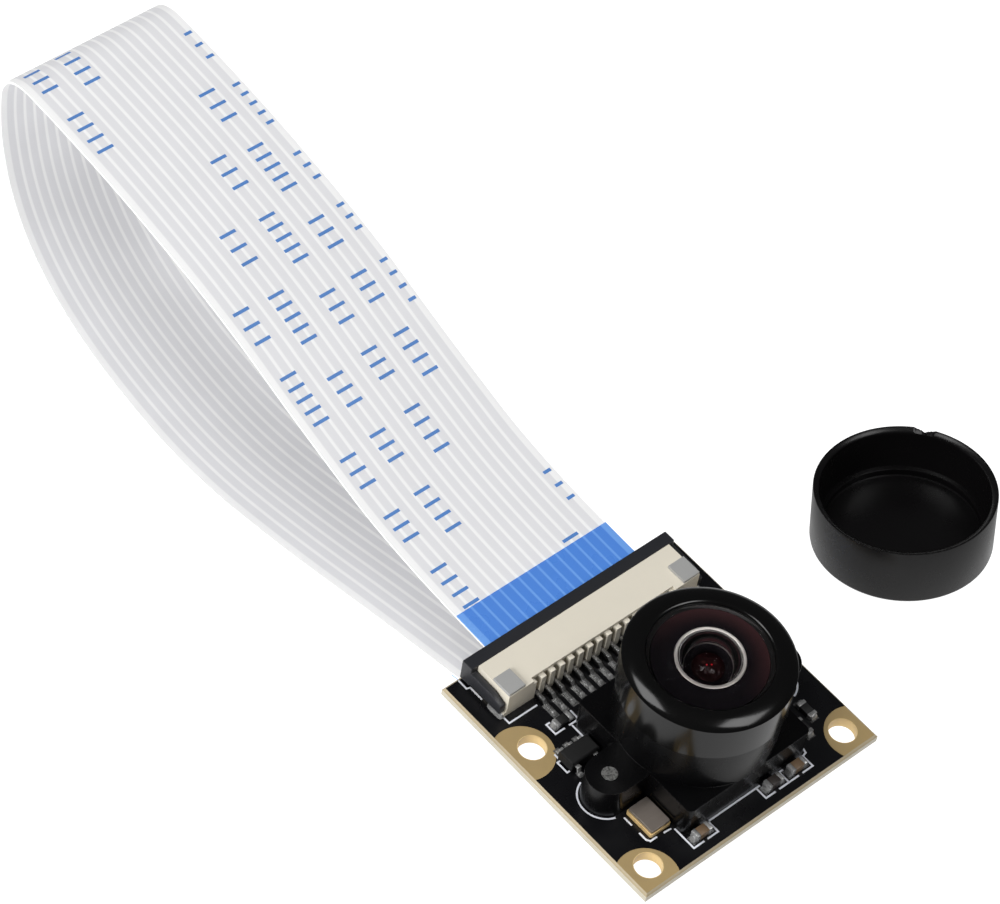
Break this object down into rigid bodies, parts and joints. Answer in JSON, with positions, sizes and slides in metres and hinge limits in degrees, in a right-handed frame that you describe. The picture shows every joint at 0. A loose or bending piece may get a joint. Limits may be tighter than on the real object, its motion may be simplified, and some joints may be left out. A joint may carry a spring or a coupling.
{
  "type": "camera module",
  "caption": "Small square camera board with a wide-angle lens in a screw-in barrel, a flat-cable connector with a looped flat cable, and a round lens cap lying beside it.",
  "frame": {"origin": "on the optical axis, in the centre of the four mounting holes, on the board's back face", "axes": "+Z out of the lens, square to the board; +Y towards the cable connector"},
  "size_m": [0.0494, 0.0881, 0.0257],
  "materials": {
    "laminate": "satin glass-fibre laminate",
    "solder_mask": "satin",
    "tin": "bright tin",
    "white_print": "matte",
    "holder_black": "fine matte",
    "screw_steel": "satin",
    "filter_glass": "clear, coated",
    "barrel_black": "satin",
    "lens_glass": "polished, coated",
    "bright_ring": "turned",
    "inner_black": "matte",
    "sensor_ceramic": "matte",
    "sensor_silicon": "polished",
    "connector_cream": "satin",
    "slider_black": "satin",
    "cable_grey": "satin film",
    "stiffener_blue": "satin film",
    "contact_gold": "bright",
    "crystal_ceramic": "satin",
    "crystal_lid": "satin",
    "chip_black": "matte",
    "capacitor_brown": "satin ceramic",
    "capacitor_dark": "satin ceramic",
    "cap_black": "satin"
  },
  "bodies": {
    "board": {"circuit_board": "laminate", "solder_mask_front": "solder_mask", "solder_mask_back": "solder_mask", "solder_pads": "tin", "silkscreen": "white_print", "lens_holder": "holder_black", "holder_screw_left": "screw_steel", "holder_screw_right": "screw_steel", "ir_filter": "filter_glass", "sensor_package": "sensor_ceramic", "sensor_die": "sensor_silicon", "sensor_cover_glass": "filter_glass", "connector_housing": "connector_cream", "connector_contacts": "tin", "connector_tab_left": "tin", "connector_tab_right": "tin", "ribbon_cable": "cable_grey", "cable_stiffener_near": "stiffener_blue", "cable_stiffener_far": "stiffener_blue", "cable_contacts_near": "contact_gold", "cable_contacts_far": "contact_gold", "crystal_base": "crystal_ceramic", "crystal_lid": "crystal_lid", "regulator_body": "chip_black", "regulator_leads": "tin", "capacitor_1_body": "capacitor_brown", "capacitor_1_ends": "tin", "capacitor_2_body": "capacitor_dark", "capacitor_2_ends": "tin", "capacitor_3_body": "capacitor_brown", "capacitor_3_ends": "tin", "resistor_1_body": "chip_black", "resistor_1_ends": "tin", "resistor_2_body": "chip_black", "resistor_2_ends": "tin", "resistor_3_body": "chip_black", "resistor_3_ends": "tin", "lens_cap": "cap_black"},
    "lens": {"lens_barrel": "barrel_black", "front_lens": "lens_glass", "element_ring": "bright_ring", "element_cell": "inner_black", "second_lens": "lens_glass", "aperture_stop": "inner_black", "spacer_tube": "inner_black", "rear_lens": "lens_glass"},
    "slider": {"connector_slider": "slider_black"}
  },
  "joints": [
    {"name": "lens_focus", "type": "hinge", "parent": "board", "child": "lens", "pos_m": [0, 0, 0.0082], "axis": [0, 0, 1], "range_deg": [-180, 180]},
    {"name": "slider_slide", "type": "slide", "parent": "board", "child": "slider", "axis": [0, 1, 0], "range_m": [0, 0.001]}
  ]
}
